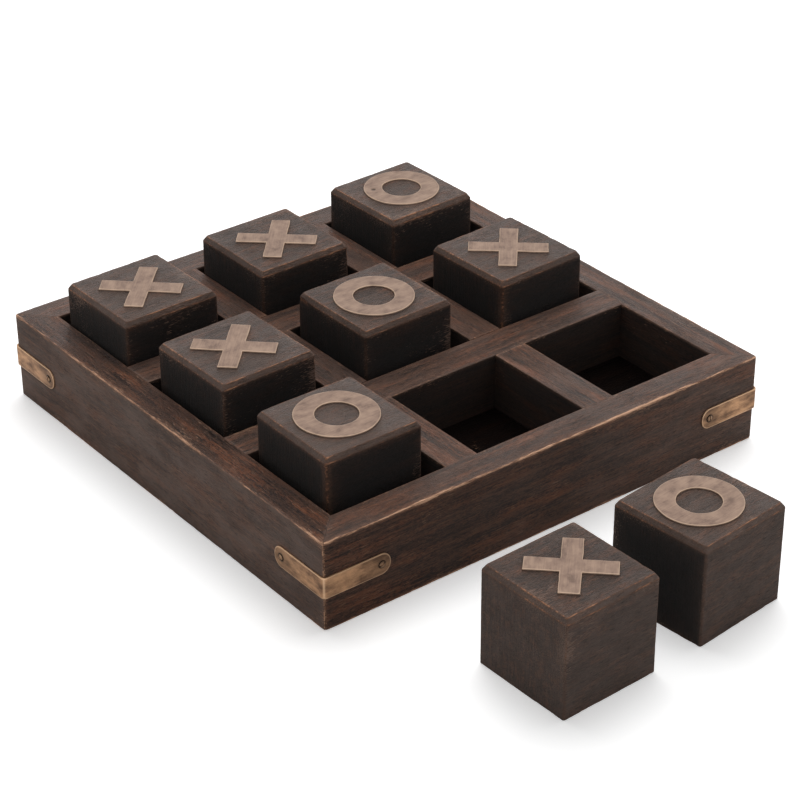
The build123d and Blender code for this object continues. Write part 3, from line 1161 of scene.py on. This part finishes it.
@dataclass
class GamePieces:
    """The nine wooden blocks, each with a brass cross or ring on its top."""

    wood: Material
    brass: Material
    width: float = 62.5 * MM  # a block's width
    bevel_inset: float = 1.8 * MM  # how far the bevel reaches in over the top
    bevel_drop: float = 3.0 * MM  # how far it comes down the sides
    upright_radius: float = 1.5 * MM  # of the upright edges
    arris_radius: float = 0.35 * MM  # of the other edges
    mark_bevel: float = 0.3 * MM  # the rubbed edge of a mark
    cross_span: float = 47.5 * MM  # a cross's whole width along an arm
    arm_width: float = 11.0 * MM
    ring_outer: float = 23.3 * MM
    ring_inner: float = 11.9 * MM
    hand_cut: float = 0.25 * MM  # how far a mark's outline wanders
    cut_length: float = 9 * MM  # over what length it does
    other_way: Lengths = (3.1, 5.9, 2.6)  # from its wander along X to that along Y, in lengths
    painted_side_shade: float = 0.95  # how much painted shade the sides of a block in the tray take
    rubbed_share: float = 0.5  # how much less painted shade at an arris, where the rubbed wood shows
    rubbed_reach: float = 4.5 * MM  # how far from the arris that fades
    side_spare: float = 0.12 * MM  # how much less the lower arrises wear, as a distance
    seated_haze_and_sheen: HazeAndSheen = HazeAndSheen(0.5, 0.9)  # wax film and painted sheen of a block in the tray
    # A loose block's sides take more painted sheen, for the white floor that they mirror
    loose_haze_and_sheen: HazeAndSheen = HazeAndSheen(1.35, 0.9)
    duller_tops: tuple[str, ...] = ("o_2", "x_3", "x_5")  # with less wax film and painted sheen on them
    hazier_glossier_tops: tuple[str, ...] = ("o_1",)
    top_difference: float = 0.4  # how much less or more that is
    shadowed_sides: tuple[str, ...] = ("o_4",)  # loose, with a painted shadow on its left side, where the next block shades it
    gripped: tuple[str, ...] = ("o_1", "x_4")  # with a front upright edge rubbed most
    grip_wear: float = 0.75  # how much nearer to an arris the wood seems there
    grip_reach: float = 8 * MM  # how far from that edge it does
    pitch: float = 2.2 * MM  # the most between two cuts in a block
    block_apart: Lengths = (0.29, 0.17, 0.13)  # from one block's stretch of the grain to the next's
    mark_apart: Lengths = (0.19, 0.07, 0.03)  # the same of the marks' mottle
    pit: Lengths = (-15.4 * MM, 8.4 * MM, 1.0 * MM)  # the dark pit in one ring
    pit_radius: float = 0.9 * MM
    weathering: Weathering = Weathering(0.3 * MM, 1.2 * MM, 6 * MM, 0.2 * MM)

    def build(self) -> None:
        """Make and place every block and its mark."""
        blocks = sorted(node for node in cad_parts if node.startswith("block_"))
        for seed, node in enumerate(blocks, 1):
            name = node.removeprefix("block_")
            self.build_block(name, seed)
            self.build_mark(name, seed)

    def chips(self, name: str, height: float) -> list[Chip]:
        """List the chips of one block.

        Args:
            name: the block's name, such as x_1.
            height: its height.

        Returns:
            The chips, which only three of the blocks have.
        """
        half = self.width / 2
        low_left = Vector((-half, half - 4 * MM, height - 4.4 * MM))
        on_right = Vector((half, -half, height - 6.5 * MM))
        found = {
            "o_2": [Chip(low_left, Vector((3, 7, 2.2)) * MM, 0.7 * MM)],
            "x_1": [Chip(on_right, Vector((1.6, 1.6, 2.6)) * MM, 0.5 * MM)],
            "x_3": [Chip(on_right, Vector((1.4, 1.4, 4.0)) * MM, 0.4 * MM)],
        }
        return found.get(name, [])

    def shape_block(self, height: float) -> tuple[Mesh, Measure]:
        """Make a block: a box whose top is drawn in for the bevel, rounded and scored.

        Args:
            height: its height.

        Returns:
            The mesh, on the origin, and what measures to its arrises in one quarter of it.
        """
        half, side = self.width / 2, height - self.bevel_drop
        bm = shape_box(Vector((self.width, self.width, side)), Vector((-half, -half, 0)))
        bm.normal_update()
        top = max(bm.faces, key=lambda face: face.calc_center_median().z)
        drawn = bmesh.ops.extrude_discrete_faces(bm, faces=[top])["faces"][0]
        shrink = 1 - 2 * self.bevel_inset / self.width
        bmesh.ops.scale(bm, vec=(shrink, shrink, 1), verts=drawn.verts)
        bmesh.ops.translate(bm, vec=(0, 0, self.bevel_drop), verts=drawn.verts)
        sharp = sharp_edges(bm)
        # One quarter's arrises do for all four, which are alike
        quarter = [edge for edge in sharp if min((edge.verts[0].co + edge.verts[1].co).xy) > -TINY]
        upper = [e for e in quarter if min(vert.co.z for vert in e.verts) > height - TINY]
        lower = [edge for edge in quarter if edge not in upper]
        to_arris = nearest((ends_of(upper), 0.0), (ends_of(lower), self.side_spare))
        uprights = [edge for edge in sharp if run_of(edge, Axis.Z) > MM]
        round_over(bm, uprights, self.upright_radius, 4)
        level = [edge for edge in sharp_edges(bm) if run_of(edge, Axis.Z) < TINY]
        round_over(bm, level, self.arris_radius, 2)
        for axis in (Axis.X, Axis.Y):
            score(bm, axis, spaced(-half, half, self.pitch, (2.6 * MM, 4 * MM)))
        up = spaced(0, height, self.pitch, (1.2 * MM, 2.4 * MM, 3.8 * MM, 5 * MM))
        bevel = [side + self.bevel_drop * share for share in (0.25, 0.5, 0.75)]
        score(bm, Axis.Z, [z for z in up if z < side - TINY] + bevel)
        return bm, to_arris

    def build_block(self, name: str, seed: int) -> None:
        """Make one block, worn as the block of that name is, and place it.

        Args:
            name: the block's name, such as x_1.
            seed: what makes its wear and grain its own.
        """
        node = f"block_{name}"
        low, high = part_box(node)
        height = high.z - low.z
        half, side = self.width / 2, height - self.bevel_drop
        bm, to_arris = self.shape_block(height)
        shift = Vector(self.block_apart) * (seed + 20)
        seated = low.z > MM
        held = self.grip_wear * float(name in self.gripped)

        def edge_gap(co: Vector) -> float:
            """Measure to the nearest arris, in the quarter that stands for all four.

            Args:
                co: a point of the block.

            Returns:
                The distance, which seems less where hands have gripped.
            """
            from_edge = (co.xy - Vector((-half, -half))).length / self.grip_reach
            nearer = 1 - held * exp(-(from_edge**2))
            return to_arris(Vector((abs(co.x), abs(co.y), co.z))) * nearer

        def painted_block_shade(co: Vector) -> float:
            """Measure the painted shade: on a seated block's sides, and on a shadowed loose side,
            not on its bevel.

            Args:
                co: a point of the block.

            Returns:
                The painted shade, from 0 to 1.
            """
            # Painted shadow on the left side of a loose block that the next block shades
            shaded = seated or (name in self.shadowed_sides and co.x < TINY - half)
            rubbed = self.rubbed_share * exp(-edge_gap(co) / self.rubbed_reach)
            return self.painted_side_shade * (1 - rubbed) * float(shaded and co.z < side - TINY)

        haze_and_sheen = self.seated_haze_and_sheen if seated else self.loose_haze_and_sheen
        more = (name in self.hazier_glossier_tops) - (name in self.duller_tops)
        haze_and_sheen = replace(haze_and_sheen, top=haze_and_sheen.top + self.top_difference * more)
        lay_out(bm, shift, edge_gap, painted_block_shade, end_grain=True, haze_and_sheen=haze_and_sheen)
        self.weathering.apply(bm, shift)
        for chip in self.chips(name, height):
            chip.break_out(bm)
        place = self.stand(low, high, turn_of(node, Vector((0, -1, 0))))
        finish_piece(bm, node, place, self.wood, f"piece_{name}", "block_wood")

    def stand(self, low: Vector, high: Vector, turn: float) -> Matrix:
        """Stand a piece in the middle of its box, on its lowest level, and turn it."""
        centre = (low + high) / 2
        return Matrix.Translation((centre.x, centre.y, low.z)) @ Matrix.Rotation(turn, 4, "Z")

    def build_mark(self, name: str, seed: int) -> None:
        """Make the mark of one block and lay it on the block's top.

        Args:
            name: the block's name, such as x_1.
            seed: what makes its tarnish its own.
        """
        node = f"plate_{name}"
        low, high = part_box(node)
        thickness = high.z - low.z
        shift = Vector(self.mark_apart) * (seed + 40)
        if Mark(name[0]) is Mark.CROSS:
            bm = self.shape_cross(thickness, shift)
            turn = turn_of(node, Vector((1, -1, 0)).normalized())
        else:
            bm = self.shape_ring(thickness, shift, pitted=name == "o_3")
            turn = turn_of(f"block_{name}", Vector((0, -1, 0)))
        for vert in bm.verts:
            spot = (vert.co + shift) / self.cut_length
            aside, ahead = noise.noise(spot), noise.noise(spot + Vector(self.other_way))
            vert.co += Vector((aside, ahead, 0)) * self.hand_cut
        place = self.stand(low, high, turn)
        finish_piece(bm, node, place, self.brass, f"piece_{name}", "mark_brass")

    def shape_cross(self, thickness: float, shift: Vector) -> Mesh:
        """Make a cross: a square whose four sides are drawn out into arms, turned by an eighth.

        Args:
            thickness: the sheet's thickness.
            shift: what sets its stretch of the pattern apart.

        Returns:
            The mesh, laid out.
        """
        half = self.arm_width / 2
        arm = self.cross_span / 2 - half
        bm = bmesh.new()
        bmesh.ops.create_grid(bm, x_segments=1, y_segments=1, size=half)
        bm.normal_update()
        for edge in bm.edges[:]:
            outward = (edge.verts[0].co + edge.verts[1].co).normalized() * arm
            drawn = bmesh.ops.extrude_edge_only(bm, edges=[edge])
            bmesh.ops.translate(bm, vec=outward, verts=new_verts(drawn))
        raised = bmesh.ops.extrude_face_region(bm, geom=bm.faces[:], use_keep_orig=True)
        bmesh.ops.translate(bm, vec=(0, 0, thickness), verts=new_verts(raised))
        bmesh.ops.recalc_face_normals(bm, faces=bm.faces)
        upper = thickness / 2
        rim = [edge for edge in sharp_edges(bm) if all(v.co.z > upper for v in edge.verts)]
        to_rim = nearest((ends_of(rim), 0.0))
        round_over(bm, rim, self.mark_bevel, 2)
        along_arm = spaced(0, self.cross_span / 2, 1.5 * MM, (0.7 * MM, 1.5 * MM))
        beside_arm = [4.4 * MM, 6.6 * MM]
        cuts = [way * place for way in (-1, 1) for place in [0, *along_arm, *beside_arm]]
        for axis in (Axis.X, Axis.Y):
            score(bm, axis, cuts)
        lay_out(bm, shift, to_rim)
        eighth = Matrix.Rotation(pi / 4, 3, "Z")
        bmesh.ops.rotate(bm, cent=(0, 0, 0), matrix=eighth, verts=bm.verts)
        return bm

    def shape_ring(self, thickness: float, shift: Vector, pitted: bool) -> Mesh:
        """Make a ring by spinning its bevelled section.

        Args:
            thickness: the sheet's thickness.
            shift: what sets its stretch of the pattern apart.
            pitted: whether it has a small dark pit on its left.

        Returns:
            The mesh, laid out.
        """
        bevel, inner, outer = self.mark_bevel, self.ring_inner, self.ring_outer
        shoulder, eased = thickness - bevel, thickness - bevel / 3
        flat = [inner + bevel + (outer - inner - 2 * bevel) * i / 12 for i in range(13)]
        section = [(inner, 0.0), (inner, shoulder), (inner + bevel / 3, eased)]
        section += [(radius, thickness) for radius in flat]
        section += [(outer - bevel / 3, eased), (outer, shoulder), (outer, 0.0)]
        bm = spin_round(section, closed=True, steps=144)
        pit = Vector(self.pit)

        def to_rim(co: Vector) -> float:
            """Measure to the nearer of the two upper edges."""
            across = min(abs(co.xy.length - inner), abs(outer - co.xy.length))
            return (across**2 + (thickness - co.z) ** 2) ** 0.5

        def in_pit(co: Vector) -> float:
            """Measure how deep in the pit a point lies, from 0 to 1."""
            return float(pitted) * clamp(2 - (co - pit).length / self.pit_radius)

        lay_out(bm, shift, to_rim, in_pit)
        for vert in bm.verts:
            vert.co.z -= in_pit(vert.co) * thickness / 3
        return bm


# The studio


@dataclass
class Studio:
    """The floor, the lamp, the white surround and the camera."""

    azimuth: float = radians(-37.6302)  # the camera's direction round the object
    elevation: float = radians(30.8772)  # its height above the floor, as an angle
    roll: float = radians(-0.3630)  # its tilt about its own axis
    distance: float = 1441.4 * MM  # from it to the origin, along its axis
    aside: float = -11.36 * MM  # how far right of the picture's middle the origin stands
    above: float = -8.77 * MM  # and how far above it
    lens: float = 110.63  # the focal length, in mm as the sensor is
    sensor: float = 36.0
    surround: float = 0.35  # how strongly the white surround lights dull surfaces
    panel_place: Lengths = (0.5, 0.45, 1.5)  # where the overhead lamp hangs
    panel_size: float = 1.6  # the length of its side
    panel_power: float = 26.0  # in watts
    floor_half: float = 6.0  # half the floor's width
    lift: float = 0.36  # how much of the floor's white stands for the light behind it

    def build(self) -> None:
        """Make the whole studio."""
        self.place_camera()
        self.light_room()
        self.hang_panel()
        self.lay_floor()

    def place_camera(self) -> None:
        """Stand the camera where the photograph was taken from."""
        camera = bpy.data.cameras.new("camera")
        camera.lens, camera.sensor_width = self.lens, self.sensor
        camera.clip_start, camera.clip_end = 0.05, 50
        holder = show("camera", camera)
        level = cos(self.elevation)
        back = Vector((sin(self.azimuth) * level, -cos(self.azimuth) * level, sin(self.elevation)))
        right = Vector((cos(self.azimuth), sin(self.azimuth), 0))
        up = back.cross(right)
        rolled_right = right * cos(self.roll) + up * sin(self.roll)
        rolled_up = up * cos(self.roll) - right * sin(self.roll)
        turn = Matrix((rolled_right, rolled_up, back)).transposed()
        stand = Matrix.Translation(turn @ Vector((-self.aside, -self.above, self.distance)))
        holder.matrix_world = stand @ turn.to_4x4()
        bpy.context.scene.camera = holder

    def light_room(self) -> None:
        """Surround the room with white, which the camera and the metal see at full strength."""
        scene = bpy.context.scene
        scene.view_settings.view_transform = "Standard"
        world = bpy.data.worlds.new("white surround")
        scene.world = world
        world.use_nodes = True
        tree = world.node_tree
        tree.nodes.clear()
        seen, mirrored, through = (
            add(tree, "ShaderNodeLightPath", out=ray)
            for ray in ("Is Camera Ray", "Is Glossy Ray", "Is Transmission Ray")
        )
        shown = add(tree, "ShaderNodeMath", (seen, mirrored), operation="MAXIMUM")
        shown = add(tree, "ShaderNodeMath", (shown, through), operation="MAXIMUM")
        colour = hex_to_linear("#ffffff")
        dim, white = (
            add(tree, "ShaderNodeBackground", {"Color": colour, "Strength": strength})
            for strength in (self.surround, 1.0)
        )
        mixed = add(tree, "ShaderNodeMixShader", (shown, dim, white))
        add(tree, "ShaderNodeOutputWorld", {"Surface": mixed})

    def hang_panel(self) -> None:
        """Hang a broad soft panel of light over the tray, which it faces."""
        lamp = bpy.data.lights.new("overhead panel", "AREA")
        lamp.shape = "SQUARE"
        lamp.size = self.panel_size
        lamp.energy = self.panel_power
        holder = show(lamp.name, lamp)
        place = Vector(self.panel_place)
        turn = place.to_track_quat("Z", "Y").to_matrix().to_4x4()
        holder.matrix_world = Matrix.Translation(place) @ turn
        # Metal and wax mirror the white surround alone, so they look alike from every side
        holder.visible_glossy = False

    def lay_floor(self) -> None:
        """Lay a plain white floor that keeps the tray's shadow."""
        bm = bmesh.new()
        bmesh.ops.create_grid(bm, x_segments=1, y_segments=1, size=self.floor_half)
        mesh = bpy.data.meshes.new("floor")
        bm.to_mesh(mesh)
        bm.free()
        # Matt card: no gloss and no grain, only the shadow
        material, tree, _ = start_finish("white paper sweep")
        seen = add(tree, "ShaderNodeLightPath", out="Is Camera Ray")
        paper, seen_paper = (
            add(tree, "ShaderNodeBsdfDiffuse", {"Color": hex_to_linear(colour)})
            for colour in ("#efefef", "#ffffff")
        )
        behind = {"Color": hex_to_linear("#ffffff"), "Strength": self.lift}
        lit = (seen_paper, add(tree, "ShaderNodeEmission", behind))
        lifted = add(tree, "ShaderNodeAddShader", lit)
        mixed = add(tree, "ShaderNodeMixShader", (seen, paper, lifted))
        add(tree, "ShaderNodeOutputMaterial", {"Surface": mixed})
        mesh.materials.append(material)
        floor = show("floor", mesh)


def main() -> None:
    """Build the studio, the tray, its straps and the game pieces."""
    logging.basicConfig(level=logging.INFO, format="%(name)s: %(message)s")
    # Brushing opens the grain, the stain settles in it, and the wax dulls to a soft grey film,
    # partly painted sheen
    tray_wood = StainedWood(name="brushed hardwood, espresso stain, waxed").build()
    # The cells' floor has no gloss, and is painted nearly black with shade
    base_wood = StainedWood(
        name="sawn board, ebony stain, unwaxed", side_roughness=0.95, shine=0.05
    ).build()
    # Sawing leaves short marks, which take the stain unevenly, and handling rounds the corners
    block_wood = StainedWood(
        name="sawn hardwood block, ebony stain, waxed",
        deep="#1b1210",
        mid="#4e3b31",
        warm="#6e4733",
        bloom_and_sheen="#6d5f58",
        fibre="#856c5e",
        halo="#64493b",
        rubbed="#805843",
        raw="#b08061",
        streak=(12 * MM, 0.8 * MM),
        evenness=0.2,
        fleck_share=0.5,
        cloud=(13 * MM, 9 * MM),
        warmth=0.85,
        patchiness=0.3,
        fibre_share=0.4,
        wear_reach=0.7 * MM,
        wear=0.55,
        thinning=0.6,
        scuff_reach=9 * MM,
        scuff_start=0.86,
        scuff_fade=0.14,
        rag=(7 * MM, 1.5 * MM),
        roughness=0.38,
        relief=0.6 * MM,
    ).build()
    # Cut from sheet and browned: a dull pinkish tan, mottled, with a thin bright rim
    mark_brass = AgedBrass(name="cut sheet brass, browned").build()
    # Brushed along the strip: golden where it is rubbed, brown towards the screws
    strap_brass = AgedBrass(
        name="brass strip, brushed and browned",
        dull="#7c5f4b",
        clean="#c69b76",
        dark="#40342e",
        bright="#ecc6a2",
        bright_reach=0.8 * MM,
        mottle=(12 * MM, 6 * MM),
        stroke=(24 * MM, 0.6 * MM),
        brushing=0.2,
    ).build()
    # Turned heads are brightest on the crown and nearly black in the slot and at the rim
    screw_brass = AgedBrass(
        name="turned brass screw, browned",
        dull="#6b5546",
        clean="#9a7d64",
        dark="#1d1613",
        bright="#c09c7b",
        bright_reach=1.6 * MM,
    ).build()
    Studio().build()
    Tray(wood=tray_wood, base_wood=base_wood).build()
    CornerStraps(brass=strap_brass, screw_brass=screw_brass).build()
    GamePieces(wood=block_wood, brass=mark_brass).build()


if __name__ == "__main__":
    main()
